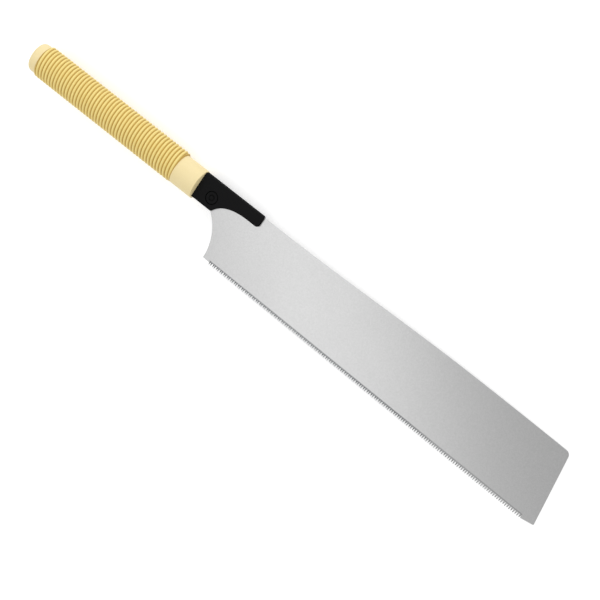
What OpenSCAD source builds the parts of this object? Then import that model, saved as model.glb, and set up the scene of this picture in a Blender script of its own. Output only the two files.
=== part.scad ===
// Pull saw with one toothed edge. A slotted holder grips the back of a thin blade, and a push
// button in the holder frees the blade, which then slides out forwards.
// The saw lies on its side: +X runs from butt to toe, +Y points to the blade's back and +Z out of
// the face that carries the button. The origin is the centre of the butt's flat end.

/* [Handle] */
// Length of the smooth butt end
butt_len = 8.6; // [8:0.1:25]
// Length of the ribbed grip
grip_len = 143.2; // [100:0.1:200]
// Length of the smooth collar
collar_len = 20.7; // [14:0.1:35]
// Width of the collar and butt, in the plane of the blade
collar_w = 24.6; // [23:0.1:30]
// Thickness of the collar and butt, across the blade
collar_t = 20.8; // [19.5:0.1:28]
// Distance of the collar's middle from the handle's axis, towards the teeth
collar_low = 0.7; // [0:0.1:0.8]
// Edge radius of the butt's end
butt_round = 4; // [1:0.1:6]
// Wall of the collar and butt round the core
shell_wall = 1.6; // [1.2:0.1:2.2]
// Thickness of the collar's front wall
collar_front = 5; // [3:0.1:8]
// Depth of the core in the butt
butt_seat = 4; // [2:0.1:5]
// Clearance of the core in the collar, the butt and the grip
core_fit = 0.15; // [0.05:0.01:0.3]
// Gap between the two halves of the core
core_split = 0.1; // [0.02:0.01:0.3]

/* [Ribs] */
// Distance from rib to rib along the grip
rib_pitch = 3.09; // [2.5:0.01:5]
// Height of a rib above its groove
rib_h = 1.2; // [0.5:0.05:1.6]
// Height of the groove above the collar's surface
groove_rise = 0.1; // [0:0.05:0.5]
// Ribs wound side by side
rib_starts = 2; // [1:1:3]

/* [Holder] */
// Thickness of the holder across the blade
holder_t = 6; // [5.6:0.1:9]
// Distance of the holder's top edge from the handle's axis
holder_top = 10.8; // [10:0.1:14]
// Distance of the block's bottom edge from the handle's axis
holder_low = 11.1; // [9:0.1:14]
// Length of the block in front of the collar
block_len = 19; // [18:0.1:24]
// Length of the holder in front of the collar
arm_len = 57.5; // [52:0.1:80]
// Height of the arm along the blade's back
arm_h = 9.7; // [7:0.1:12]
// Length of the straight part of the arm's lower edge
arm_flat = 7.5; // [4:0.1:12]
// Where the slope of the scoop at the block would meet the arm's lower edge, in front of the block
scoop_bend = 7; // [4:0.1:9]
// Corner radius of the arm's end
arm_round = 2; // [0.5:0.1:3]
// Length of the shank inside the handle
shank_len = 62; // [45:0.5:90]
// Width of the shank
shank_w = 14; // [10:0.1:16]
// Clearance of the shank in the handle
shank_fit = 0.1; // [0.05:0.01:0.3]
// Diameter of the cross pins
cross_pin_d = 4; // [3:0.1:5]
// Distance of the front cross pin behind the collar's face
cross_pin_back = 28; // [25:0.5:34]
// Distance of the rear cross pin from the shank's end
cross_pin_end = 12; // [6:0.5:14]
// Radial clearance of the cross pins
cross_pin_fit = 0.05; // [0.02:0.01:0.1]

/* [Blade] */
// Thickness of the blade
blade_t = 0.6; // [0.4:0.05:1]
// Clearance of the blade in the slot, on each side
slot_fit = 0.1; // [0.05:0.01:0.2]
// Distance of the blade's back from the handle's axis, in the holder
back_y = 10.2; // [9:0.05:10.5]
// Rise of the back from the holder to its highest point
back_swell = 3.3; // [0:0.1:8]
// Where the back starts to rise, in front of the collar
swell_start = 80; // [60:1:120]
// Length of the rise
swell_run = 167; // [80:1:200]
// Fall of the back over the run that follows the rise
toe_drop = 0.7; // [0:0.1:3]
// Length of that run
drop_run = 85; // [40:1:150]
// Tooth to tooth distance, 14 teeth to the inch
tooth_pitch = 1.814; // [1.2:0.001:3]
// Number of teeth
tooth_n = 165; // [120:1:180]
// Height of a tooth
tooth_h = 3.1; // [1:0.1:4]
// Part of the pitch between a gullet and the next tip
tooth_lean = 0.36; // [0.2:0.02:0.8]
// Distance of the first tooth's tip from the handle's axis
edge_y = 45.7; // [40:0.1:60]
// Fall of the row of tips from heel to toe
edge_fall = 2.2; // [0:0.1:6]
// Where the teeth start, in front of the collar
teeth_start = 40.3; // [38:0.1:50]
// Length of the plain edge behind the teeth
plain_heel = 6.1; // [4:0.1:9]
// Rise of the heel's corner above the first tooth's tip
heel_rise = 2.3; // [0.5:0.1:4]
// Length of the plain edge in front of the teeth
plain_toe = 10.7; // [3:0.1:15]
// Rise of the plain edge from the last tooth to the toe's corner
toe_rise = 2.7; // [0.5:0.1:4]
// Lean of the toe
toe_lean = 10.3; // [0:0.1:20]
// Corner radius at the top of the toe
toe_round = 4; // [1:0.1:8]
// Radius of the heel
heel_r = 39.8; // [38:0.1:42]
// Clearance between the heel and the holder
heel_fit = 0.4; // [0.3:0.05:0.8]

/* [Lock] */
// Distance of the button's axis in front of the collar
button_x = 14.6; // [13:0.1:15]
// Distance of the button's axis below the handle's axis
button_low = 2.4; // [0:0.1:3]
// Diameter of the button
button_d = 9.7; // [8:0.1:11]
// Thickness of the button
button_t = 1.2; // [1:0.05:1.4]
// Radial gap round the button
button_gap = 0.3; // [0.1:0.05:0.5]
// Diameter of the ring groove in the button, at its middle
ring_d = 4.1; // [3:0.1:6]
// Width of the ring groove
ring_w = 0.5; // [0.3:0.05:0.8]
// Depth of the ring groove
ring_h = 0.5; // [0.2:0.05:0.55]
// Depth of the button's middle inside the ring
dish_h = 0.15; // [0.05:0.05:0.2]
// Travel of the button
button_travel = 0.9; // [0.8:0.05:1]
// Room under the pressed button
button_rest = 0.05; // [0.02:0.01:0.1]
// Diameter of the pin's flange
flange_d = 6; // [5:0.1:6.4]
// Height of the pin's flange
flange_h = 0.9; // [0.8:0.05:1]
// Diameter of the pin's neck
neck_d = 3; // [2.2:0.1:3.6]
// Diameter of the pin's end in the button
spigot_d = 2; // [1.2:0.1:2]
// Depth of the pin's end in the button
spigot_h = 0.55; // [0.3:0.05:0.6]
// Radial clearance of the pin in the blade and the holder
pin_fit = 0.2; // [0.1:0.02:0.3]
// Radial clearance of the pin's end in the button
spigot_fit = 0.02; // [0.01:0.01:0.05]
// Steel of the blade behind its keyhole
keyhole_wall = 2.2; // [1:0.1:2.4]
// Diameter of the cover on the far side
cover_d = 7.8; // [7.2:0.1:9]
// Thickness of the cover
cover_t = 0.6; // [0.5:0.05:0.8]
// Radial clearance of the cover
cover_fit = 0.05; // [0.02:0.01:0.1]
// Width of the cover's slot
cover_slot_w = 1; // [0.6:0.1:1.5]
// Depth of the cover's slot
cover_slot_h = 0.25; // [0.1:0.05:0.3]
// Wire of the spring
spring_wire = 0.35; // [0.25:0.05:0.45]
// Coils of the spring
spring_turns = 2.5; // [2:0.5:3]
// Diameter at the middle of the spring's top coil
spring_top_d = 2.4; // [2:0.1:2.8]
// Gap at each end and round the spring
spring_gap = 0.05; // [0.02:0.01:0.1]

/* [Hidden] */

cream = "#f7e4b2";
straw = "#e6c97c";
black = "#1c1c1d";
steel = "#d6d6d6";
spring_steel = "#9a9da1";

$fn = 96;
oval_sides = 48;
over = 1;

// Places along the handle
x_grip = butt_len;
x_collar = x_grip + grip_len;
x_face = x_collar + collar_len;

// Oval sections: the core lies inside the collar, the butt and the grip
core_w = collar_w - 2 * (shell_wall + core_fit);
core_t = collar_t - 2 * (shell_wall + core_fit);
core_start = butt_len - butt_seat;
core_end = x_face - collar_front - core_fit;

// Grip: a helix of ribs on a grid of columns, each with the same count of rows
grip_sides = 24;
rows_per_rib = 3;
rib_rows = [0, rib_h, rib_h];
row_n = round(grip_len * rows_per_rib / rib_pitch);
row_step = grip_len / row_n;
groove_w = collar_w + 2 * groove_rise;
groove_t = collar_t + 2 * groove_rise;
// The bore's flat sides stay clear of the core's corners
flat_share = 1 / cos(180 / grip_sides);
bore_w = (core_w + 2 * core_fit) * flat_share;
bore_t = (core_t + 2 * core_fit) * flat_share;

// Holder
arm_low = holder_top - arm_h;
block_rise = arm_low + holder_low;
scoop_run = arm_len - arm_round - arm_flat - block_len;
scoop_steps = 16;
slot_t = blade_t + 2 * slot_fit;

// Blade, measured from the collar's face
key_d = flange_d + 2 * pin_fit;
tang_x = button_x - key_d / 2 - keyhole_wall;
heel_x = teeth_start - plain_heel;
heel_y = edge_y - heel_rise;
teeth_end = teeth_start + tooth_n * tooth_pitch;
toe_x = teeth_end + plain_toe;
toe_y = edge_y + edge_fall - toe_rise;
toe_top_x = toe_x - tan(toe_lean) * (toe_y + back_y);
toe_top_y = back_line(toe_top_x);
back_steps = 24;

// Lock: heights from the blade's middle, with the button at rest
flange_top = slot_t / 2 - button_rest;
flange_low = flange_top - flange_h;
button_base = holder_t / 2 - button_t;
web_top = button_base - button_travel - button_rest;
cover_top = cover_t - holder_t / 2;
spring_low = cover_top + spring_gap;
spring_high = flange_low - spring_gap;
spring_base_d = flange_d + 2 * pin_fit - spring_wire - 4 * spring_gap;
spring_rings = 40;
spring_sides = 8;

// Turns a section drawn in Y and Z into a bar along X
module bar(start, length) {
    translate([start, 0, 0])
        rotate([90, 0, 90])
            linear_extrude(length)
                children();
}

module oval(w, t) {
    polygon([for (i = [0:oval_sides - 1]) let (a = 360 * i / oval_sides) [w / 2 * cos(a), t / 2 * sin(a)]]);
}

// Side view of a bar whose first end has round corners
module round_ended(length, width, radius) {
    translate([radius, -width / 2])
        square([length - radius, width]);
    translate([0, radius - width / 2])
        square([length, width - 2 * radius]);
    for (side = [-1, 1])
        translate([radius, side * (width / 2 - radius)])
            circle(radius);
}

module butt_cap() {
    color(cream)
        difference() {
            intersection() {
                bar(0, butt_len)
                    oval(collar_w, collar_t);
                translate([0, 0, -collar_t])
                    linear_extrude(2 * collar_t)
                        round_ended(butt_len, collar_w, butt_round);
                translate([0, collar_w, 0])
                    rotate([90, 0, 0])
                        linear_extrude(2 * collar_w)
                            round_ended(butt_len, collar_t, butt_round);
            }
            bar(core_start - core_fit, butt_len)
                oval(core_w + 2 * core_fit, core_t + 2 * core_fit);
        }
}

module collar() {
    color(cream)
        difference() {
            translate([0, -collar_low, 0])
                bar(x_collar, collar_len)
                    oval(collar_w, collar_t);
            bar(x_collar - over, collar_len - collar_front + over)
                oval(core_w + 2 * core_fit, core_t + 2 * core_fit);
            shank_room();
        }
}

module shank_room() {
    translate([x_face - shank_len - shank_fit, -shank_w / 2 - shank_fit, -holder_t / 2 - shank_fit])
        cube([shank_len + shank_fit + over, shank_w + 2 * shank_fit, holder_t + 2 * shank_fit]);
}

module pin_row(radius, length) {
    for (back = [cross_pin_back, shank_len - cross_pin_end])
        translate([x_face - back, 0, -length / 2])
            cylinder(r = radius, h = length);
}

module core_half(side) {
    color(cream)
        difference() {
            intersection() {
                bar(core_start, core_end - core_start)
                    oval(core_w, core_t);
                translate([0, -collar_w, side > 0 ? core_split / 2 : -collar_t - core_split / 2])
                    cube([x_face, 2 * collar_w, collar_t]);
            }
            shank_room();
            pin_row(cross_pin_d / 2 + cross_pin_fit, 2 * collar_t);
        }
}

module core_near_half() {
    core_half(1);
}

module core_far_half() {
    core_half(-1);
}

module cross_pins() {
    color(spring_steel)
        pin_row(cross_pin_d / 2, core_t - 2 * core_fit - over);
}

// Rows follow the ribs, so each column of the grid is shifted along the grip by its angle
function row_shift(i) = rib_starts * rows_per_rib * i / grip_sides;
function whole_rows(i) = floor(row_shift(i));
function carried(i) = whole_rows(i + 1) - whole_rows(i);
function rib_rise(k) = rib_rows[(k % rows_per_rib + rows_per_rib) % rows_per_rib];
function is_end(m) = m == 0 || m == row_n;
function row_x(i, m) = is_end(m) ? m * row_step : (m - 0.5 + row_shift(i) - whole_rows(i)) * row_step;
function row_rise(i, m) = is_end(m) ? 0 : rib_rise(m - whole_rows(i));
function oval_point(x, i, w, t) =
    let (a = 360 * i / grip_sides) [x, w / 2 * cos(a), t / 2 * sin(a)];
function grip_point(i, m) =
    let (h = row_rise(i, m)) oval_point(x_grip + row_x(i, m), i, groove_w + 2 * h, groove_t + 2 * h);
function grip_id(i, m) = (i % grip_sides) * (row_n + 1) + m;
function bore_id(i, end) = grip_sides * (row_n + 1) + 2 * (i % grip_sides) + end;

module grip_sleeve() {
    outer = [for (i = [0:grip_sides - 1]) for (m = [0:row_n]) grip_point(i, m)];
    bore = [
        for (i = [0:grip_sides - 1])
            for (end = [0, 1]) oval_point(x_grip + end * grip_len, i, bore_w, bore_t)
    ];
    strips = [
        for (i = [0:grip_sides - 1])
            let (c = carried(i))
                for (m = [0:row_n - 1 - c])
                    let (a = grip_id(i, m), b = grip_id(i, m + 1))
                        let (d = grip_id(i + 1, m + c), e = grip_id(i + 1, m + 1 + c))
                            for (face = [[a, b, e], [a, e, d]]) face
    ];
    steps = [
        for (i = [0:grip_sides - 1])
            if (carried(i) == 1)
                for (face = [
                    [grip_id(i, 0), grip_id(i + 1, 1), grip_id(i + 1, 0)],
                    [grip_id(i, row_n - 1), grip_id(i, row_n), grip_id(i + 1, row_n)]
                ]) face
    ];
    ends = [
        for (i = [0:grip_sides - 1])
            let (s = grip_id(i, 0), s2 = grip_id(i + 1, 0))
                let (e = grip_id(i, row_n), e2 = grip_id(i + 1, row_n))
                    let (p = bore_id(i, 0), p2 = bore_id(i + 1, 0))
                        let (q = bore_id(i, 1), q2 = bore_id(i + 1, 1))
                            for (face = [
                                [s, s2, p2], [s, p2, p], [p, p2, q2],
                                [p, q2, q], [e2, e, q], [e2, q, q2]
                            ]) face
    ];
    color(straw)
        polyhedron(concat(outer, bore), concat(strips, steps, ends));
}

// Round corner of the arm's end
function arm_corner(y, first) = [
    for (a = [first:15:first + 90]) [arm_len - arm_round + arm_round * cos(a), y + arm_round * sin(a)]
];

// Outline of the holder, measured from the collar's face
module holder_outline() {
    scoop = [
        for (i = [0:scoop_steps])
            let (t = i / scoop_steps, x = 2 * t * (1 - t) * scoop_bend + t * t * scoop_run)
                [block_len + x, arm_low - block_rise * pow(1 - t, 2)]
    ];
    low_corner = arm_corner(arm_low + arm_round, -90);
    top_corner = arm_corner(holder_top - arm_round, 0);
    polygon(concat([[0, holder_top], [0, -holder_low]], scoop, low_corner, top_corner));
}

// Room that the blade needs as it slides forwards
module slot_outline() {
    difference() {
        translate([tang_x - slot_fit, -holder_low - over])
            square([arm_len, holder_low + over + back_y + slot_fit]);
        heel_disc(heel_r - heel_fit);
    }
}

module heel_disc(radius) {
    translate([heel_x - heel_r, -heel_y])
        circle(radius, $fn = 4 * $fn);
}

// A round bar on the button's axis
module lock_bar(d, low, high) {
    translate([x_face + button_x, -button_low, low])
        cylinder(d = d, h = high - low);
}

module holder() {
    color(black)
        difference() {
            union() {
                translate([x_face, 0, -holder_t / 2])
                    linear_extrude(holder_t)
                        holder_outline();
                translate([x_face - shank_len, -shank_w / 2, -holder_t / 2])
                    cube([shank_len + over, shank_w, holder_t]);
            }
            translate([x_face, 0, -slot_t / 2])
                linear_extrude(slot_t)
                    slot_outline();
            lock_bar(button_d + 2 * button_gap, web_top, holder_t);
            lock_bar(neck_d + 2 * pin_fit, 0, holder_t);
            lock_bar(flange_d + 2 * pin_fit, -holder_t, 0);
            lock_bar(cover_d + 2 * cover_fit, -holder_t, cover_top);
            pin_row(cross_pin_d / 2 + cross_pin_fit, 2 * holder_t);
        }
}

function ease(t) = let (s = min(max(t, 0), 1)) s * s * (3 - 2 * s);
function back_line(x) =
    back_y + back_swell * ease((x - swell_start) / swell_run)
    - toe_drop * pow(max(0, (x - swell_start - swell_run) / drop_run), 2);
function tip_y(x) = -edge_y - edge_fall * (x - teeth_start) / (teeth_end - teeth_start);

module blade_outline() {
    arc_y = toe_top_y - toe_round;
    toe_touch = arc_y + toe_round * sin(toe_lean);
    arc_x = toe_x - tan(toe_lean) * (toe_touch + toe_y) - toe_round * cos(toe_lean);
    back = [
        for (i = [0:back_steps])
            let (x = swell_start + (arc_x - swell_start) * i / back_steps) [x, back_line(x)]
    ];
    toe_corner = [
        for (a = [75:-15:15])
            let (turn = max(a, toe_lean)) [arc_x + toe_round * cos(turn), arc_y + toe_round * sin(turn)]
    ];
    teeth = [
        for (i = [tooth_n - 1:-1:0])
            let (x = teeth_start + i * tooth_pitch, tip = x + tooth_lean * tooth_pitch)
                for (p = [[tip, tip_y(tip)], [x, tip_y(x) + tooth_h]]) p
    ];
    difference() {
        polygon(concat(
            [[tang_x, back_y]], back, toe_corner,
            [[toe_x, -toe_y], [teeth_end, tip_y(teeth_end) + tooth_h / 4]],
            teeth,
            [[heel_x, -heel_y], [tang_x, -heel_y]]
        ));
        heel_disc(heel_r);
        translate([button_x, -button_low])
            circle(d = key_d);
        translate([tang_x - over, -button_low - neck_d / 2 - pin_fit])
            square([button_x - tang_x + over, neck_d + 2 * pin_fit]);
    }
}

module blade() {
    color(steel)
        translate([x_face, 0, -blade_t / 2])
            linear_extrude(blade_t)
                blade_outline();
}

module release_button() {
    color(black)
        difference() {
            lock_bar(button_d, button_base, holder_t / 2);
            lock_bar(ring_d + ring_w, holder_t / 2 - dish_h, holder_t);
            difference() {
                lock_bar(ring_d + ring_w, holder_t / 2 - ring_h, holder_t);
                lock_bar(ring_d - ring_w, 0, 2 * holder_t);
            }
            lock_bar(spigot_d + 2 * spigot_fit, button_base - over, button_base + spigot_h + spigot_fit);
        }
}

module lock_pin() {
    color(spring_steel)
        union() {
            lock_bar(flange_d, flange_low, flange_top);
            lock_bar(neck_d, flange_low, button_base);
            lock_bar(spigot_d, flange_low, button_base + spigot_h);
        }
}

module lock_cover() {
    color(black)
        difference() {
            lock_bar(cover_d, -holder_t / 2, cover_top);
            translate([x_face + button_x - cover_d, -button_low - cover_slot_w / 2, -holder_t])
                cube([2 * cover_d, cover_slot_w, holder_t / 2 + cover_slot_h]);
        }
}

// Wire of the spring: a cone-shaped helix that flattens into itself
function spring_r(t) = (spring_base_d + (spring_top_d - spring_base_d) * t) / 2;
function spring_z(t) =
    spring_low + spring_wire / 2 + (spring_high - spring_low - spring_wire) * t;
function spring_point(j, k) =
    let (t = j / spring_rings, turn = 360 * spring_turns * t, a = 360 * k / spring_sides)
        let (r = spring_r(t) + spring_wire / 2 * cos(a))
            [r * cos(turn), r * sin(turn), spring_z(t) + spring_wire / 2 * sin(a)];

module lock_spring() {
    points = [for (j = [0:spring_rings]) for (k = [0:spring_sides - 1]) spring_point(j, k)];
    walls = [
        for (j = [0:spring_rings - 1])
            for (k = [0:spring_sides - 1])
                let (a = j * spring_sides + k, b = j * spring_sides + (k + 1) % spring_sides)
                    for (face = [[a, b, b + spring_sides], [a, b + spring_sides, a + spring_sides]]) face
    ];
    first = [for (k = [1:spring_sides - 2]) [0, k + 1, k]];
    last_ring = spring_rings * spring_sides;
    last = [for (k = [1:spring_sides - 2]) [last_ring, last_ring + k, last_ring + k + 1]];
    color(spring_steel)
        translate([x_face + button_x, -button_low, 0])
            polyhedron(points, concat(walls, first, last));
}

blade();
holder();
release_button();
lock_pin();
lock_spring();
lock_cover();
collar();
core_near_half();
core_far_half();
cross_pins();
grip_sleeve();
butt_cap();
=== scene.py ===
import math

import bmesh
import bpy
from mathutils import Matrix, Quaternion, Vector


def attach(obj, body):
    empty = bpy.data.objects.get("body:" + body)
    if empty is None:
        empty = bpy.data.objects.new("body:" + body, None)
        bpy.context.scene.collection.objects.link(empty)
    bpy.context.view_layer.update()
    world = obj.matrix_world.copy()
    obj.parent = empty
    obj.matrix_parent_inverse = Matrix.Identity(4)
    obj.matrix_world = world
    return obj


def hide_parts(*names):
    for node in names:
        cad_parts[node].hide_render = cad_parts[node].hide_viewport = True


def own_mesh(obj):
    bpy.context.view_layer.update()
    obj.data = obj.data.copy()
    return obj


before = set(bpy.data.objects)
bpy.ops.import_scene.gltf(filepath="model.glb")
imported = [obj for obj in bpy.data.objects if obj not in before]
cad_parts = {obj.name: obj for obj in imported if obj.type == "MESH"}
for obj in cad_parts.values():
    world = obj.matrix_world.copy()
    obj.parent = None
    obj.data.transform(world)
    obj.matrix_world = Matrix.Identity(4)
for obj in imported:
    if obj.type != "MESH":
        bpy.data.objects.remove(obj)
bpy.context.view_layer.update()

# Sizes are in millimetres, as in the part's source, and become metres when a piece is made.
MM = 0.001

# Points closer than this are one, and a little more is allowed where two turns of the grip meet.
WELD = 0.0005
SEAM = 0.01

# Sides of the round and the oval shapes, and how far a cutting tool reaches past what it cuts
ROUND_SIDES = 72
OVAL_SIDES = 96
OVERCUT = 1.0

# Places along the handle, from the butt's flat end
GRIP_X = 8.6
COLLAR_X = 151.8
FACE_X = 172.5

# Half widths of the ovals, in the plane of the blade and across it
COLLAR_OVAL = (12.3, 10.4)
CORE_OVAL = (10.7, 8.8)
GROOVE_OVAL = (12.4, 10.5)

# Smooth ends of the handle
BUTT_ROUND = 4.0
BUTT_FLOOR = 4.45
COLLAR_LOW = 0.7
COLLAR_ROUND = 0.5
COLLAR_FRONT = 5.0

# Ribs of the grip: two are wound side by side, and the spare turns are cut off at the ends.
RIB_PITCH = 3.09
RIB_STARTS = 2
RIB_RISE = 1.2
RIB_CREST = 1.4
RIB_FIRST = -0.515
RIB_END = 1.2
RIB_CUTS = 10
TURN_STEPS = 48
SPARE_TURNS = 3

# Holder, measured from the collar's face
HOLDER_HALF = 3.0
HOLDER_TOP = 10.8
HOLDER_ROUND = 0.4
BLOCK_LOW = -11.1
BLOCK_LEN = 19.0
ARM_LEN = 57.5
ARM_LOW = 1.1
ARM_ROUND = 2.0
ARM_BULGE = 0.4
SCOOP_RUN = 29.0
SCOOP_BEND = 7.0
SCOOP_STEPS = 24
SHANK_LEN = 62.0
SHANK_HALF = 7.0
SHANK_FIT = 0.1
CROSS_PINS = (-28.0, -50.0)
CROSS_PIN_R = 2.05

# Tool that cuts the slot for the blade: it reaches past the block and the arm.
SLOT_HALF = 0.4
SLOT_FIT = 0.1
SLOT_LOW = -20.0
SLOT_PAST_ARM = 40.0

# Lock, on the button's axis
BUTTON_X = 14.6
BUTTON_Y = -2.4
BUTTON_R = 4.66
BUTTON_WELL_R = 5.3
WELL_FLOOR = 0.85
NECK_BORE_R = 1.7
FLANGE_BORE_R = 3.2
COVER_BORE_R = 3.95
COVER_TOP = -2.4

# Radius and height of the button's corners, from the middle of its dish to the pin's socket below
BUTTON_DISH = [(0.0, 2.92), (1.4, 2.97)]
BUTTON_GROOVE = [(1.6, 2.9), (1.66, 2.2), (2.44, 2.2), (2.5, 2.9)]
BUTTON_RIM = [(2.7, 3.0), (4.4, 3.0), (4.58, 2.93), (BUTTON_R, 2.7), (BUTTON_R, 1.8)]
BUTTON_SOCKET = [(1.02, 1.8), (1.02, 2.37), (0.0, 2.37)]

# Blade, measured from the collar's face
BLADE_HALF = 0.3
TANG_X = 9.2
BACK_Y = 10.2
SWELL_START = 80.0
SWELL_RUN = 167.0
SWELL = 3.3
TOE_DROP = 0.7
DROP_RUN = 85.0
KEYHOLE_R = 3.2
KEYWAY_HALF = 1.7
HEEL = (34.2, -43.4)
HEEL_STEP = 2.0
HEEL_R = 39.8
HEEL_CENTRE = (HEEL[0] - HEEL_R, HEEL[1])
HEEL_FIT = 0.4

# Teeth. A gullet's half width and a tip's place are shares of the pitch.
TEETH_START = 40.3
TOOTH_PITCH = 1.814
TOOTH_N = 165
TOOTH_H = 3.1
TOOTH_LEAN = 0.36
GULLET_HALF = 0.07
TOOTH_BEVEL = 2.6
TOOTH_SET = 0.2
EDGE_Y = 45.7
EDGE_FALL = 2.2
TEETH_END = TEETH_START + TOOTH_N * TOOTH_PITCH

# Toe
TOE = (TEETH_END + 10.7, -45.2)
TOE_LEAN = math.radians(10.3)
TOE_ROUND = 4.0
TOE_TIP_ROUND = 0.8

# Dark strip on the teeth, partly the tint of their hardening and partly painted shade of the filed bevels:
# its rise above the gullets, which grows towards the toe, the place where its painted shade starts to pale
# on the teeth (painted light, where the bevels catch more light), the painted shade line along the gullets
# that stays, and the heights between which the blue ends
STRIP_RISE = 0.85
STRIP_CLIMB = 0.35
SHADE_FADE_START = 225.0
GULLET_SHADE_DROP = 0.3
GULLET_SHADE_SHARE = 0.7
BLUE_LOW = 0.9
BLUE_HIGH = 1.5

# Most values of a noise texture lie between these.
NOISE_LOW = 0.3
NOISE_HIGH = 0.7

# The floor touches the last ribs of the grip and the toe.
REST_LOW = -11.7
FLOOR_HALF = 12000.0
FLOOR_GLOW = 0.45
ROOM_GLOW = 0.68

# Camera, fitted to the photograph
CAMERA_PLACE = (550.7, 247.6, 1049.5)
CAMERA_TARGET = (288.2, -22.5, 0.0)
CAMERA_TURN = math.radians(-35.03)
CAMERA_LENS = 90.0
CAMERA_SENSOR = 36.0


def linear(code):
    """Linear colour of an sRGB hex code."""
    parts = [int(code[i:i + 2], 16) / 255 for i in (1, 3, 5)]
    return tuple(c / 12.92 if c <= 0.04045 else ((c + 0.055) / 1.055) ** 2.4 for c in parts) + (1.0,)


def put(tree, kind, inputs=None, **settings):
    """Adds a node with its settings. An input is a value, or the output that feeds it."""
    node = tree.nodes.new(kind)
    for name, value in settings.items():
        setattr(node, name, value)
    for socket, value in (inputs or {}).items():
        if isinstance(value, bpy.types.NodeSocket):
            tree.links.new(value, node.inputs[socket])
        else:
            node.inputs[socket].default_value = value
    return node


def new_material(name):
    """An empty material, with its tree, its output and the place of each point on the piece."""
    material = bpy.data.materials.new(name)
    material.use_nodes = True
    tree = material.node_tree
    tree.nodes.clear()
    output = put(tree, "ShaderNodeOutputMaterial")
    place = put(tree, "ShaderNodeTexCoord").outputs["Object"]
    return material, tree, output, place


def per_mm(size):
    """Texture scale that gives a pattern of this size in millimetres."""
    return 1.0 / (size * MM)


def satin_spring_steel():
    """Cold rolled spring steel, satin ground and plated: a soft, even sheen with a fine grain, and a dark
    grey strip on the teeth, partly the tint of their hardening and partly painted shade of their bevels,
    with blued tips.
    The grit is about 0.1 mm. It is drawn at 0.8 mm, so that it shows in a picture of the whole saw."""
    material, tree, output, place = new_material("satin_spring_steel")
    grain = put(tree, "ShaderNodeTexNoise", {"Vector": place, "Scale": per_mm(0.8), "Detail": 3.0})
    cloud = put(tree, "ShaderNodeTexNoise", {"Vector": place, "Scale": per_mm(60.0), "Detail": 2.0})
    shade = put(tree, "ShaderNodeMapRange", {
        "Value": grain.outputs["Fac"], "From Min": NOISE_LOW, "From Max": NOISE_HIGH,
        "To Min": 0.0, "To Max": 1.0})
    tone = put(tree, "ShaderNodeMix", {
        "Factor": shade.outputs["Result"], "A": linear("#afafaf"), "B": linear("#b9b9b9")},
        data_type="RGBA")
    gloss = put(tree, "ShaderNodeMapRange", {
        "Value": cloud.outputs["Fac"], "From Min": NOISE_LOW, "From Max": NOISE_HIGH,
        "To Min": 0.282, "To Max": 0.298})
    bump = put(tree, "ShaderNodeBump", {
        "Height": grain.outputs["Fac"], "Strength": 0.15, "Distance": 0.02 * MM})
    shader = put(tree, "ShaderNodeBsdfPrincipled", {
        "Base Color": hardened_and_shaded_edge(tree, place, tone.outputs["Result"]), "Metallic": 1.0,
        "Roughness": gloss.outputs["Result"], "Normal": bump.outputs["Normal"]})
    tree.links.new(shader.outputs["BSDF"], output.inputs["Surface"])
    return material


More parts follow.
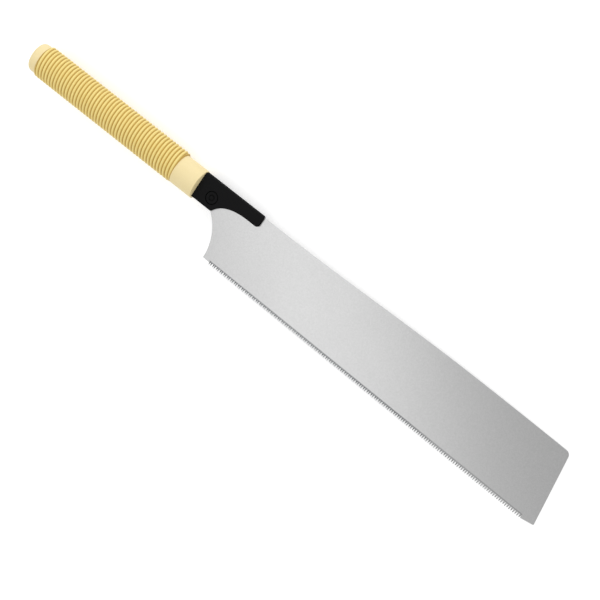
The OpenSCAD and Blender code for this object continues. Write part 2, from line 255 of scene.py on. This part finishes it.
def hardened_and_shaded_edge(tree, place, steel):
    """The steel's colour, with a dark strip on the teeth, partly the tint of their hardening and partly
    painted shade of their filed bevels, and their blued tips. Towards the toe the strip's painted shade
    pales on the teeth, as painted light where the bevels catch more light, and only a painted shade line
    along the gullets stays."""
    # Heights are measured from a line that meets the gullets at the heel and falls less than they do.
    fall = (EDGE_FALL - STRIP_CLIMB) / (TEETH_END - TEETH_START)
    gullets = (TOOTH_H - EDGE_Y + fall * (FACE_X + TEETH_START)) * MM
    level = put(tree, "ShaderNodeVectorMath", {0: place, 1: (fall, 1.0, 0.0)}, operation="DOT_PRODUCT")
    along = put(tree, "ShaderNodeSeparateXYZ", {"Vector": place})
    toothed = put(tree, "ShaderNodeMath", {
        0: along.outputs["X"], 1: (FACE_X + (TEETH_START + TEETH_END) / 2) * MM,
        2: (TEETH_END - TEETH_START) / 2 * MM}, operation="COMPARE")
    # Dark strip over the teeth, to a little above the gullets: hardening tint and painted bevel shade
    # together
    plain = put(tree, "ShaderNodeMapRange", {
        "Value": level.outputs["Value"], "From Min": gullets, "From Max": gullets + STRIP_RISE * MM},
        interpolation_type="SMOOTHSTEP")
    hard_and_shaded = put(tree, "ShaderNodeMath", {
        0: toothed.outputs["Value"], 1: plain.outputs["Result"]}, operation="SUBTRACT", use_clamp=True)
    # Painted light: the strip fades off the teeth towards the toe, whose bevels catch more light
    shaded_teeth = put(tree, "ShaderNodeMapRange", {
        "Value": along.outputs["X"], "From Min": (FACE_X + SHADE_FADE_START) * MM,
        "From Max": (FACE_X + TEETH_END) * MM, "To Min": 1.0, "To Max": 0.0})
    # Painted shade: a dark line along the gullets, kept all the way to the toe
    line = put(tree, "ShaderNodeMapRange", {
        "Value": level.outputs["Value"], "From Min": gullets - GULLET_SHADE_DROP * MM, "From Max": gullets,
        "To Min": 0.0, "To Max": GULLET_SHADE_SHARE}, interpolation_type="SMOOTHSTEP")
    stays = put(tree, "ShaderNodeMath", {
        0: shaded_teeth.outputs["Result"], 1: line.outputs["Result"]}, operation="MAXIMUM")
    depth = put(tree, "ShaderNodeMath", {
        0: hard_and_shaded.outputs["Value"], 1: stays.outputs["Value"]}, operation="MULTIPLY")
    # Dark grey of the strip: the hardened steel's tint and painted shade in one colour
    strip = put(tree, "ShaderNodeMix", {
        "Factor": depth.outputs["Value"], "A": steel, "B": linear("#6c6d6f")}, data_type="RGBA")
    blue = put(tree, "ShaderNodeMapRange", {
        "Value": level.outputs["Value"], "From Min": gullets - (TOOTH_H - BLUE_LOW) * MM,
        "From Max": gullets - (TOOTH_H - BLUE_HIGH) * MM, "To Min": 1.0, "To Max": 0.0},
        interpolation_type="SMOOTHSTEP")
    tips = put(tree, "ShaderNodeMath", {
        0: toothed.outputs["Value"], 1: blue.outputs["Result"]}, operation="MULTIPLY")
    colour = put(tree, "ShaderNodeMix", {
        "Factor": tips.outputs["Value"], "A": strip.outputs["Result"], "B": linear("#2a2b2d")},
        data_type="RGBA")
    return colour.outputs["Result"]


def drawn_pin_steel():
    """Bright drawn steel of the pins and the spring: darker than the blade, with a fine mottle."""
    material, tree, output, place = new_material("drawn_pin_steel")
    mottle = put(tree, "ShaderNodeTexNoise", {"Vector": place, "Scale": per_mm(0.3), "Detail": 2.0})
    tone = put(tree, "ShaderNodeMix", {
        "Factor": mottle.outputs["Fac"], "A": linear("#9a9da1"), "B": linear("#b4b7ba")}, data_type="RGBA")
    shader = put(tree, "ShaderNodeBsdfPrincipled", {
        "Base Color": tone.outputs["Result"], "Metallic": 1.0, "Roughness": 0.3})
    tree.links.new(shader.outputs["BSDF"], output.inputs["Surface"])
    return material


def moulded_black_nylon():
    """Black nylon from a sparked mould: dull and deep, with a fine leathery grain of about 0.4 mm."""
    material, tree, output, place = new_material("moulded_black_nylon")
    grain = put(tree, "ShaderNodeTexNoise", {"Vector": place, "Scale": per_mm(0.4), "Detail": 2.0})
    tone = put(tree, "ShaderNodeMix", {
        "Factor": grain.outputs["Fac"], "A": linear("#151515"), "B": linear("#1d1d1e")}, data_type="RGBA")
    gloss = put(tree, "ShaderNodeMapRange", {
        "Value": grain.outputs["Fac"], "From Min": NOISE_LOW, "From Max": NOISE_HIGH,
        "To Min": 0.85, "To Max": 0.95})
    bump = put(tree, "ShaderNodeBump", {
        "Height": grain.outputs["Fac"], "Strength": 0.3, "Distance": 0.05 * MM})
    shader = put(tree, "ShaderNodeBsdfPrincipled", {
        "Base Color": tone.outputs["Result"], "Roughness": gloss.outputs["Result"],
        "Specular IOR Level": 0.04, "Normal": bump.outputs["Normal"]})
    tree.links.new(shader.outputs["BSDF"], output.inputs["Surface"])
    return material


def moulded_cream_abs():
    """Cream ABS, moulded smooth: even colour, a soft broad sheen and faint flow clouds."""
    material, tree, output, place = new_material("moulded_cream_abs")
    cloud = put(tree, "ShaderNodeTexNoise", {"Vector": place, "Scale": per_mm(9.0), "Detail": 3.0})
    grain = put(tree, "ShaderNodeTexNoise", {"Vector": place, "Scale": per_mm(0.5), "Detail": 1.0})
    tone = put(tree, "ShaderNodeMix", {
        "Factor": cloud.outputs["Fac"], "A": linear("#f6e2aa"), "B": linear("#fae8b5")}, data_type="RGBA")
    gloss = put(tree, "ShaderNodeMapRange", {
        "Value": cloud.outputs["Fac"], "From Min": NOISE_LOW, "From Max": NOISE_HIGH,
        "To Min": 0.42, "To Max": 0.5})
    bump = put(tree, "ShaderNodeBump", {
        "Height": grain.outputs["Fac"], "Strength": 0.1, "Distance": 0.02 * MM})
    shader = put(tree, "ShaderNodeBsdfPrincipled", {
        "Base Color": tone.outputs["Result"], "Roughness": gloss.outputs["Result"],
        "Specular IOR Level": 0.3, "Normal": bump.outputs["Normal"]})
    tree.links.new(shader.outputs["BSDF"], output.inputs["Surface"])
    return material


def ribbed_straw_abs():
    """Straw-coloured ABS moulded like wound cane, with painted shade that darkens the grooves to brown and
    a painted highlight on the pale crests.
    """
    material, tree, output, place = new_material("ribbed_straw_abs")
    # Distance from the axis as a share of the groove's oval: 1 in a groove, about 1.1 on a crest
    oval = put(tree, "ShaderNodeVectorMath", {
        0: place, 1: (0.0, 1 / (GROOVE_OVAL[0] * MM), 1 / (GROOVE_OVAL[1] * MM))}, operation="MULTIPLY")
    reach = put(tree, "ShaderNodeVectorMath", {0: oval.outputs["Vector"]}, operation="LENGTH")
    height = put(tree, "ShaderNodeMapRange", {
        "Value": reach.outputs["Value"], "From Min": 1.0, "From Max": 1.08})
    # Painted shade and highlight by the rib's height: brown in the grooves, pale yellow on the crests
    rib_shade_and_highlight = put(tree, "ShaderNodeMix", {
        "Factor": height.outputs["Result"], "A": linear("#b8923d"), "B": linear("#fde795")},
        data_type="RGBA")
    cloud = put(tree, "ShaderNodeTexNoise", {"Vector": place, "Scale": per_mm(7.0), "Detail": 3.0})
    depth = put(tree, "ShaderNodeMapRange", {
        "Value": cloud.outputs["Fac"], "From Min": NOISE_LOW, "From Max": NOISE_HIGH,
        "To Min": 0.0, "To Max": 0.25})
    tone = put(tree, "ShaderNodeMix", {
        "Factor": depth.outputs["Result"], "A": rib_shade_and_highlight.outputs["Result"], "B": linear("#e7c468")},
        data_type="RGBA")
    grain = put(tree, "ShaderNodeTexNoise", {"Vector": place, "Scale": per_mm(0.5), "Detail": 1.0})
    bump = put(tree, "ShaderNodeBump", {
        "Height": grain.outputs["Fac"], "Strength": 0.1, "Distance": 0.02 * MM})
    shader = put(tree, "ShaderNodeBsdfPrincipled", {
        "Base Color": tone.outputs["Result"], "Roughness": 0.45, "Specular IOR Level": 0.3,
        "Normal": bump.outputs["Normal"]})
    tree.links.new(shader.outputs["BSDF"], output.inputs["Surface"])
    return material


def white_paper_floor():
    """Matt white paper. To the eye it is lit a little more than it lights the saw, so it reads as white."""
    material, tree, output, place = new_material("white_paper_floor")
    fibre = put(tree, "ShaderNodeTexNoise", {"Vector": place, "Scale": per_mm(40.0)})
    tone = put(tree, "ShaderNodeMix", {
        "Factor": fibre.outputs["Fac"], "A": linear("#e6e6e6"), "B": linear("#e8e8e8")}, data_type="RGBA")
    matt = put(tree, "ShaderNodeBsdfDiffuse", {"Color": tone.outputs["Result"]})
    path = put(tree, "ShaderNodeLightPath")
    mirrored = put(tree, "ShaderNodeMath", {
        0: path.outputs["Is Glossy Ray"], 1: path.outputs["Is Transmission Ray"]}, operation="MAXIMUM")
    seen = put(tree, "ShaderNodeMath", {
        0: path.outputs["Is Camera Ray"], 1: mirrored.outputs["Value"]}, operation="MAXIMUM")
    lift = put(tree, "ShaderNodeMath", {0: seen.outputs["Value"], 1: FLOOR_GLOW}, operation="MULTIPLY")
    glow = put(tree, "ShaderNodeEmission", {"Strength": lift.outputs["Value"]})
    both = put(tree, "ShaderNodeAddShader", {0: matt.outputs["BSDF"], 1: glow.outputs["Emission"]})
    tree.links.new(both.outputs["Shader"], output.inputs["Surface"])
    return material


def corners_of(geometry):
    """The vertices in what an operator gives back."""
    return [item for item in geometry if isinstance(item, bmesh.types.BMVert)]


def outline(points):
    """A closed loop of straight sides through a few corners, in the plane of the blade.
    Side i runs from corner i - 1 to corner i."""
    bm = bmesh.new()
    corners = [bm.verts.new((x, y, 0.0)) for x, y in points]
    sides = [bm.edges.new((corners[i - 1], corners[i])) for i in range(len(corners))]
    return bm, sides


def divide(bm, side, cuts):
    """Puts points along one side, and gives them back from high to low X."""
    made = bmesh.ops.subdivide_edges(bm, edges=[side], cuts=cuts)
    return sorted(corners_of(made["geom_inner"]), key=lambda v: -v.co.x)


def bend(bm, side, cuts, centre, radius):
    """Divides one side and moves its points out to an arc."""
    middle = Vector((centre[0], centre[1], 0.0))
    for v in divide(bm, side, cuts):
        v.co = middle + (v.co - middle).normalized() * radius


def plate(bm, low, high):
    """Fills an outline and draws it out into a plate between two heights."""
    face = bmesh.ops.edgeloop_fill(bm, edges=bm.edges[:])["faces"][0]
    bmesh.ops.translate(bm, vec=(0.0, 0.0, low), verts=bm.verts[:])
    grown = bmesh.ops.extrude_face_region(bm, geom=[face])
    bmesh.ops.translate(bm, vec=(0.0, 0.0, high - low), verts=corners_of(grown["geom"]))


def upright_edges(bm, x, y):
    """Edges across the plate at one corner of its outline."""
    return [
        e for e in bm.edges
        if all(abs(v.co.x - x) < WELD and abs(v.co.y - y) < WELD for v in e.verts)
    ]


def soften(bm, edges, size, segments):
    """Rounds edges, from a given distance on both sides of each."""
    bmesh.ops.bevel(
        bm, geom=edges, offset=size, affect="EDGES", segments=segments, profile=0.5, material=-1)


def oval_bar(start, end, halves):
    """A closed oval bar along X."""
    bm = bmesh.new()
    across = Matrix.Rotation(math.radians(90), 3, "Y")
    bmesh.ops.create_circle(bm, cap_ends=True, segments=OVAL_SIDES, radius=1.0)
    bmesh.ops.rotate(bm, cent=(0, 0, 0), matrix=across, verts=bm.verts[:])
    bmesh.ops.scale(bm, vec=(1.0, halves[0], halves[1]), verts=bm.verts[:])
    bmesh.ops.translate(bm, vec=(start, 0.0, 0.0), verts=bm.verts[:])
    grown = bmesh.ops.extrude_face_region(bm, geom=bm.faces[:])
    bmesh.ops.translate(bm, vec=(end - start, 0.0, 0.0), verts=corners_of(grown["geom"]))
    return bm


def round_bar(x, y, radius, low, high):
    """A closed round bar across the blade, as a cutting tool."""
    bm = bmesh.new()
    bmesh.ops.create_cone(
        bm, cap_ends=True, segments=ROUND_SIDES, radius1=radius, radius2=radius, depth=high - low,
        matrix=Matrix.Translation((x, y, (low + high) / 2)))
    return bm


def block(low, high):
    """A closed box between two corners, as a cutting tool."""
    bm = bmesh.new()
    size = [b - a for a, b in zip(low, high)]
    middle = [(a + b) / 2 for a, b in zip(low, high)]
    bmesh.ops.create_cube(bm, size=1.0)
    bmesh.ops.scale(bm, vec=size, verts=bm.verts[:])
    bmesh.ops.translate(bm, vec=middle, verts=bm.verts[:])
    return bm


def as_object(bm, name):
    """Turns a bmesh into an object in the scene."""
    bmesh.ops.recalc_face_normals(bm, faces=bm.faces[:])
    mesh = bpy.data.meshes.new(name)
    bm.to_mesh(mesh)
    bm.free()
    thing = bpy.data.objects.new(name, mesh)
    bpy.context.scene.collection.objects.link(thing)
    return thing


def carve(solid, tools):
    """Cuts the tools out of a solid, one after the other, and gives the solid back."""
    stock = as_object(solid, "stock")
    cutters = [as_object(tool, "cutter") for tool in tools]
    for cutter in cutters:
        cut = stock.modifiers.new("cut", "BOOLEAN")
        cut.operation = "DIFFERENCE"
        cut.solver = "EXACT"
        cut.object = cutter
    shaped = stock.evaluated_get(bpy.context.evaluated_depsgraph_get())
    result = bmesh.new()
    result.from_mesh(shaped.to_mesh())
    shaped.to_mesh_clear()
    for thing in [stock, *cutters]:
        mesh = thing.data
        bpy.data.objects.remove(thing)
        bpy.data.meshes.remove(mesh)
    return result


def make_piece(bm, name, body, node, material, crease=30):
    """Welds a shape, turns it to metres and puts it in the scene in place of a CAD node.
    Edges that turn by more than the crease, in degrees, stay sharp."""
    bmesh.ops.remove_doubles(bm, verts=bm.verts[:], dist=WELD)
    bmesh.ops.scale(bm, vec=(MM, MM, MM), verts=bm.verts[:])
    piece = as_object(bm, name)
    for face in piece.data.polygons:
        face.use_smooth = True
    piece.data.set_sharp_from_angle(angle=math.radians(crease))
    piece.data.materials.append(material)
    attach(piece, body)
    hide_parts(node)
    return piece


def ease(t):
    """A smooth step from 0 to 1."""
    s = min(max(t, 0.0), 1.0)
    return s * s * (3 - 2 * s)


def back_line(x):
    """Height of the blade's back: level in the holder, then a slow rise and a slight fall to the toe."""
    fall = max(0.0, (x - SWELL_START - SWELL_RUN) / DROP_RUN)
    return BACK_Y + SWELL * ease((x - SWELL_START) / SWELL_RUN) - TOE_DROP * fall * fall


def tip_line(x):
    """Height of the teeth's tips, which falls slowly from heel to toe."""
    return -EDGE_Y - EDGE_FALL * (x - TEETH_START) / (TEETH_END - TEETH_START)


def on_circle(centre, radius, x):
    """Y of a circle's upper half at a place along the blade."""
    return centre[1] + math.sqrt(radius ** 2 - (x - centre[0]) ** 2)


def blade(material):
    """Thin plate with a hollow heel, a slanted toe, a row of teeth and a keyhole for the lock's pin."""
    key = (BUTTON_X, BUTTON_Y)
    key_mouth = BUTTON_X - math.sqrt(KEYHOLE_R ** 2 - KEYWAY_HALF ** 2)
    toe_top_x = TOE[0] - math.tan(TOE_LEAN) * (BACK_Y + SWELL - TOE_DROP - TOE[1])
    toe_top = (toe_top_x, back_line(toe_top_x))
    last_rise = tip_line(TEETH_END) + TOOTH_H / 4
    bm, sides = outline([
        (TANG_X, BACK_Y),
        (SWELL_START, BACK_Y),
        toe_top,
        TOE,
        (TEETH_END, last_rise),
        (TEETH_START, tip_line(TEETH_START) + HEEL_STEP),
        HEEL,
        (TANG_X, on_circle(HEEL_CENTRE, HEEL_R, TANG_X)),
        (TANG_X, BUTTON_Y - KEYWAY_HALF),
        (key_mouth, BUTTON_Y - KEYWAY_HALF),
        (BUTTON_X, BUTTON_Y - KEYHOLE_R),
        (BUTTON_X + KEYHOLE_R, BUTTON_Y),
        (BUTTON_X, BUTTON_Y + KEYHOLE_R),
        (key_mouth, BUTTON_Y + KEYWAY_HALF),
        (TANG_X, BUTTON_Y + KEYWAY_HALF),
    ])
    back, edge, heel, keyhole = sides[2], sides[5], sides[7], sides[10:14]
    for v in divide(bm, back, cuts=40):
        v.co.y = back_line(v.co.x)
    bend(bm, heel, cuts=30, centre=HEEL_CENTRE, radius=HEEL_R)
    for side in keyhole:
        bend(bm, side, cuts=7, centre=key, radius=KEYHOLE_R)
    cut_teeth(bm, edge)
    plate(bm, -BLADE_HALF, BLADE_HALF)
    file_teeth(bm)
    toe_cut = TOE_ROUND * math.tan((math.pi / 2 - TOE_LEAN) / 2)
    soften(bm, upright_edges(bm, *toe_top), toe_cut, segments=8)
    soften(bm, upright_edges(bm, *TOE), TOE_TIP_ROUND, segments=3)
    bmesh.ops.translate(bm, vec=(FACE_X, 0.0, 0.0), verts=bm.verts[:])
    return make_piece(bm, "toothed_blade", "blade", "blade", material)


def cut_teeth(bm, edge):
    """Divides the blade's lower side into teeth with flat gullets."""
    # A tooth's corners from toe to heel, as a share of the pitch and a height
    corners = ((1.0 - GULLET_HALF, TOOTH_H), (TOOTH_LEAN, 0.0), (GULLET_HALF, TOOTH_H))
    for k, v in enumerate(divide(bm, edge, cuts=len(corners) * TOOTH_N)):
        tooth = TOOTH_N - 1 - k // len(corners)
        along, height = corners[k % len(corners)]
        v.co.x = TEETH_START + (tooth + along) * TOOTH_PITCH
        v.co.y = tip_line(v.co.x) + height


def file_teeth(bm):
    """Files a slant on every other tooth from each face, and sets the tips to both sides in turn."""
    tips = [v for v in bm.verts if abs(v.co.y - tip_line(v.co.x)) < WELD]
    for v in tips:
        tooth = round((v.co.x - TEETH_START) / TOOTH_PITCH - TOOTH_LEAN)
        even = tooth % 2 == 0
        near = v.co.z > 0
        if near == even:
            v.co.y += TOOTH_BEVEL
        v.co.z += -TOOTH_SET if even else TOOTH_SET


def holder_stock():
    """The holder before it is cut: a block, an arm along the blade's back and a shank for the handle."""
    bm, sides = outline([
        (0.0, HOLDER_TOP),
        (ARM_LEN, HOLDER_TOP),
        (ARM_LEN, ARM_LOW),
        (BLOCK_LEN + SCOOP_RUN, ARM_LOW),
        (BLOCK_LEN, BLOCK_LOW),
        (0.0, BLOCK_LOW),
        (0.0, -SHANK_HALF),
        (-SHANK_LEN, -SHANK_HALF),
        (-SHANK_LEN, SHANK_HALF),
        (0.0, SHANK_HALF),
    ])
    # The scoop leaves the block steeply and flattens out along the arm.
    scoop = sides[4]
    for k, v in enumerate(divide(bm, scoop, cuts=SCOOP_STEPS - 1)):
        t = 1.0 - (k + 1) / SCOOP_STEPS
        v.co.x = BLOCK_LEN + 2 * t * (1 - t) * SCOOP_BEND + t * t * SCOOP_RUN
        v.co.y = ARM_LOW - (ARM_LOW - BLOCK_LOW) * (1 - t) ** 2
    plate(bm, -HOLDER_HALF, HOLDER_HALF)
    ends = upright_edges(bm, ARM_LEN, HOLDER_TOP) + upright_edges(bm, ARM_LEN, ARM_LOW)
    soften(bm, ends, ARM_ROUND, segments=6)
    # The arm's end bulges in the middle.
    middle = (HOLDER_TOP + ARM_LOW) / 2
    half = HOLDER_TOP - middle
    for v in bm.verts:
        if v.co.x > ARM_LEN - ARM_ROUND - WELD:
            share = (v.co.x - ARM_LEN + ARM_ROUND) / ARM_ROUND
            v.co.x -= ARM_BULGE * share * ((v.co.y - middle) / half) ** 2
    rims = [
        e for e in bm.edges
        if abs(abs(e.verts[0].co.z) - HOLDER_HALF) < WELD
        and abs(e.verts[0].co.z - e.verts[1].co.z) < WELD
        and max(v.co.x for v in e.verts) > WELD
    ]
    soften(bm, rims, HOLDER_ROUND, segments=4)
    return bm


def blade_slot():
    """Tool that cuts the holder's slot, with room round the blade's tang, back and heel."""
    room = HEEL_R - HEEL_FIT
    start = TANG_X - SLOT_FIT
    top = BACK_Y + SLOT_FIT
    end = ARM_LEN + SLOT_PAST_ARM
    bm, sides = outline([
        (start, top),
        (end, top),
        (end, SLOT_LOW),
        (HEEL_CENTRE[0] + math.sqrt(room ** 2 - (SLOT_LOW - HEEL_CENTRE[1]) ** 2), SLOT_LOW),
        (start, on_circle(HEEL_CENTRE, room, start)),
    ])
    heel = sides[4]
    bend(bm, heel, cuts=24, centre=HEEL_CENTRE, radius=room)
    plate(bm, -SLOT_HALF, SLOT_HALF)
    return bm


def holder(material):
    """Moulded holder with the blade's slot, the button's well and the bores of the lock and the pins."""
    over = HOLDER_HALF + OVERCUT
    tools = [
        blade_slot(),
        round_bar(BUTTON_X, BUTTON_Y, BUTTON_WELL_R, WELL_FLOOR, over),
        round_bar(BUTTON_X, BUTTON_Y, NECK_BORE_R, 0.0, over),
        round_bar(BUTTON_X, BUTTON_Y, FLANGE_BORE_R, -over, 0.0),
        round_bar(BUTTON_X, BUTTON_Y, COVER_BORE_R, -over, COVER_TOP),
    ]
    for x in CROSS_PINS:
        tools.append(round_bar(x, 0.0, CROSS_PIN_R, -over, over))
    bm = carve(holder_stock(), tools)
    bmesh.ops.translate(bm, vec=(FACE_X, 0.0, 0.0), verts=bm.verts[:])
    return make_piece(bm, "slotted_holder", "handle", "holder", material)


def release_button(material):
    """A flush round cap, dished for the finger tip, with a ring groove on top and a socket for its pin."""
    bm = bmesh.new()
    axis = (FACE_X + BUTTON_X, BUTTON_Y, 0.0)
    profile = BUTTON_DISH + BUTTON_GROOVE + BUTTON_RIM + BUTTON_SOCKET
    verts = [bm.verts.new((axis[0] + r, axis[1], z)) for r, z in profile]
    edges = [bm.edges.new(pair) for pair in zip(verts, verts[1:])]
    bmesh.ops.spin(
        bm, geom=verts + edges, cent=axis, axis=(0.0, 0.0, 1.0), angle=2 * math.pi, steps=ROUND_SIDES,
        use_merge=True)
    return make_piece(bm, "dished_button", "button", "release_button", material, crease=40)


def lock_spring(material):
    """The spring's own solid, with a mesh of its own; the real spring flattens towards its seat on the
    cover as the button goes in.
    """
    bm = bmesh.new()
    bm.from_mesh(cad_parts["lock_spring"].data)
    bmesh.ops.scale(bm, vec=(1 / MM, 1 / MM, 1 / MM), verts=bm.verts[:])
    spring = make_piece(bm, "conical_spring", "handle", "lock_spring", material)
    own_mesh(spring)


def collar(material):
    """Smooth front end of the handle, with a window for the holder's shank."""
    bm = oval_bar(COLLAR_X, FACE_X, COLLAR_OVAL)
    rim = [e for e in bm.edges if all(abs(v.co.x - FACE_X) < WELD for v in e.verts)]
    soften(bm, rim, COLLAR_ROUND, segments=3)
    bmesh.ops.translate(bm, vec=(0.0, -COLLAR_LOW, 0.0), verts=bm.verts[:])
    start = COLLAR_X - OVERCUT
    wide = SHANK_HALF + SHANK_FIT
    thick = HOLDER_HALF + SHANK_FIT
    bm = carve(bm, [
        oval_bar(start, FACE_X - COLLAR_FRONT, CORE_OVAL),
        block((start, -wide, -thick), (FACE_X + OVERCUT, wide, thick)),
    ])
    return make_piece(bm, "smooth_collar", "handle", "collar", material)


def butt_cap(material):
    """Smooth rear end of the handle, rounded at its flat face."""
    bm = oval_bar(0.0, GRIP_X, COLLAR_OVAL)
    rim = [e for e in bm.edges if all(abs(v.co.x) < WELD for v in e.verts)]
    soften(bm, rim, BUTT_ROUND, segments=10)
    bm = carve(bm, [oval_bar(BUTT_FLOOR, GRIP_X + OVERCUT, CORE_OVAL)])
    return make_piece(bm, "rounded_butt", "handle", "butt_cap", material)


def wound_ribs():
    """A round, open tube of rounded ribs that run as a double thread, cut to the grip's length."""
    lead = RIB_PITCH * RIB_STARTS
    turns = math.ceil((COLLAR_X - GRIP_X) / lead) + SPARE_TURNS
    start = GRIP_X + RIB_FIRST - lead
    bm = bmesh.new()
    ends = [bm.verts.new((start + x, GROOVE_OVAL[0], 0.0)) for x in (0.0, lead)]
    line = bm.edges.new(ends)
    for v in divide(bm, line, cuts=RIB_CUTS * RIB_STARTS - 1):
        across = ((v.co.x - start) / RIB_PITCH) % 1.0
        v.co.y += RIB_RISE * math.sin(math.pi * across) ** RIB_CREST
    bmesh.ops.spin(
        bm, geom=bm.verts[:] + bm.edges[:], cent=(0, 0, 0), axis=(1, 0, 0),
        dvec=(lead / TURN_STEPS, 0, 0), angle=2 * math.pi, steps=TURN_STEPS)
    first_turn = bm.verts[:] + bm.edges[:] + bm.faces[:]
    for turn in range(1, turns):
        made = bmesh.ops.duplicate(bm, geom=first_turn)["geom"]
        bmesh.ops.translate(bm, vec=(turn * lead, 0, 0), verts=corners_of(made))
    bmesh.ops.remove_doubles(bm, verts=bm.verts[:], dist=SEAM)
    for x, way in ((GRIP_X, -1.0), (COLLAR_X, 1.0)):
        bmesh.ops.bisect_plane(
            bm, geom=bm.verts[:] + bm.edges[:] + bm.faces[:], dist=WELD,
            plane_co=(x, 0, 0), plane_no=(way, 0, 0), clear_outer=True)
    return bm


def grip(material):
    """Oval sleeve with rounded ribs, closed by its two end faces and the bore round the core."""
    bm = wound_ribs()
    # From a round tube to an oval one, with ribs of the same height all round that run out at the ends
    for v in bm.verts:
        angle = math.atan2(v.co.z, v.co.y)
        rise = math.hypot(v.co.y, v.co.z) - GROOVE_OVAL[0]
        rise *= ease(min(v.co.x - GRIP_X, COLLAR_X - v.co.x) / RIB_END)
        v.co.y = math.cos(angle) * (GROOVE_OVAL[0] + rise)
        v.co.z = math.sin(angle) * (GROOVE_OVAL[1] + rise)
    bores = []
    for x in (GRIP_X, COLLAR_X):
        rim = [e for e in bm.edges if e.is_boundary and all(abs(v.co.x - x) < SEAM for v in e.verts)]
        grown = bmesh.ops.extrude_edge_only(bm, edges=rim)["geom"]
        for v in corners_of(grown):
            angle = math.atan2(v.co.z / GROOVE_OVAL[1], v.co.y / GROOVE_OVAL[0])
            v.co.y = math.cos(angle) * CORE_OVAL[0]
            v.co.z = math.sin(angle) * CORE_OVAL[1]
        bores += [e for e in grown if isinstance(e, bmesh.types.BMEdge) and e.is_boundary]
    bmesh.ops.bridge_loops(bm, edges=bores)
    return make_piece(bm, "ribbed_grip", "handle", "grip_sleeve", material, crease=50)


def floor():
    """White paper, tilted to touch the front of the grip and the toe, on which the saw lies."""
    tilt = math.atan2(-REST_LOW - BLADE_HALF, FACE_X + TOE[0] - COLLAR_X)
    bm = bmesh.new()
    bmesh.ops.create_grid(bm, x_segments=8, y_segments=8, size=FLOOR_HALF * MM)
    bmesh.ops.rotate(bm, cent=(0, 0, 0), matrix=Matrix.Rotation(-tilt, 3, "Y"), verts=bm.verts[:])
    bmesh.ops.translate(bm, vec=(COLLAR_X * MM, 0.0, REST_LOW * MM), verts=bm.verts[:])
    paper = as_object(bm, "paper_floor")
    paper.data.materials.append(white_paper_floor())


def camera():
    """The photograph's view: from above, a little to the toe's and the back's side, and turned."""
    place = Vector(CAMERA_PLACE) * MM
    target = Vector(CAMERA_TARGET) * MM
    forward = (target - place).normalized()
    right = forward.cross(Vector((0, 1, 0))).normalized()
    up = right.cross(forward)
    turn = Quaternion(forward, CAMERA_TURN)
    right, up = turn @ right, turn @ up
    data = bpy.data.cameras.new("photo_camera")
    data.lens = CAMERA_LENS
    data.sensor_width = CAMERA_SENSOR
    seat = bpy.data.objects.new("photo_camera", data)
    seat.matrix_world = Matrix.Translation(place) @ Matrix((right, up, -forward)).transposed().to_4x4()
    bpy.context.scene.collection.objects.link(seat)
    bpy.context.scene.camera = seat


def soft_box(name, place, target, size, energy, turn=0.0):
    """A rectangular soft box that faces a point and is turned on its own axis, in metres and degrees."""
    data = bpy.data.lights.new(name, "AREA")
    data.shape = "RECTANGLE"
    data.size = size[0]
    data.size_y = size[1]
    data.energy = energy
    lamp = bpy.data.objects.new(name, data)
    way = Vector(target) - Vector(place)
    facing = way.to_track_quat("-Z", "Y").to_matrix().to_4x4()
    lamp.matrix_world = Matrix.Translation(place) @ facing @ Matrix.Rotation(math.radians(turn), 4, "Z")
    bpy.context.scene.collection.objects.link(lamp)


def lights():
    """A narrow, turned box overhead on the teeth's side, which the blade mirrors as a broad sheen, a wide
    low box on the back's side, and an even pale room."""
    soft_box(
        "top_box", place=(0.155, -0.397, 1.0), target=(0.155, -0.397, 0.0), size=(0.32, 2.2),
        energy=2.95, turn=44.0)
    soft_box(
        "back_box", place=(0.1, 1.17, 0.43), target=(0.1, 0.0, 0.0), size=(2.6, 1.0), energy=8.0)
    world = bpy.data.worlds.new("pale_room")
    world.use_nodes = True
    tree = world.node_tree
    tree.nodes.clear()
    room = put(tree, "ShaderNodeBackground", {"Color": linear("#ffffff"), "Strength": ROOM_GLOW})
    output = put(tree, "ShaderNodeOutputWorld")
    tree.links.new(room.outputs["Background"], output.inputs["Surface"])
    bpy.context.scene.world = world


black_nylon = moulded_black_nylon()
cream_abs = moulded_cream_abs()
pin_steel = drawn_pin_steel()

camera()
lights()
floor()
blade(satin_spring_steel())
holder(black_nylon)
release_button(black_nylon)
lock_spring(pin_steel)
collar(cream_abs)
butt_cap(cream_abs)
grip(ribbed_straw_abs())

# Pieces inside, whose solids are already right
INSIDE = {
    "lock_cover": black_nylon,
    "lock_pin": pin_steel,
    "cross_pins": pin_steel,
    "core_near_half": cream_abs,
    "core_far_half": cream_abs,
}
for name, material in INSIDE.items():
    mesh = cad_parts[name].data
    mesh.materials.clear()
    mesh.materials.append(material)

bpy.context.scene.view_settings.view_transform = "Standard"
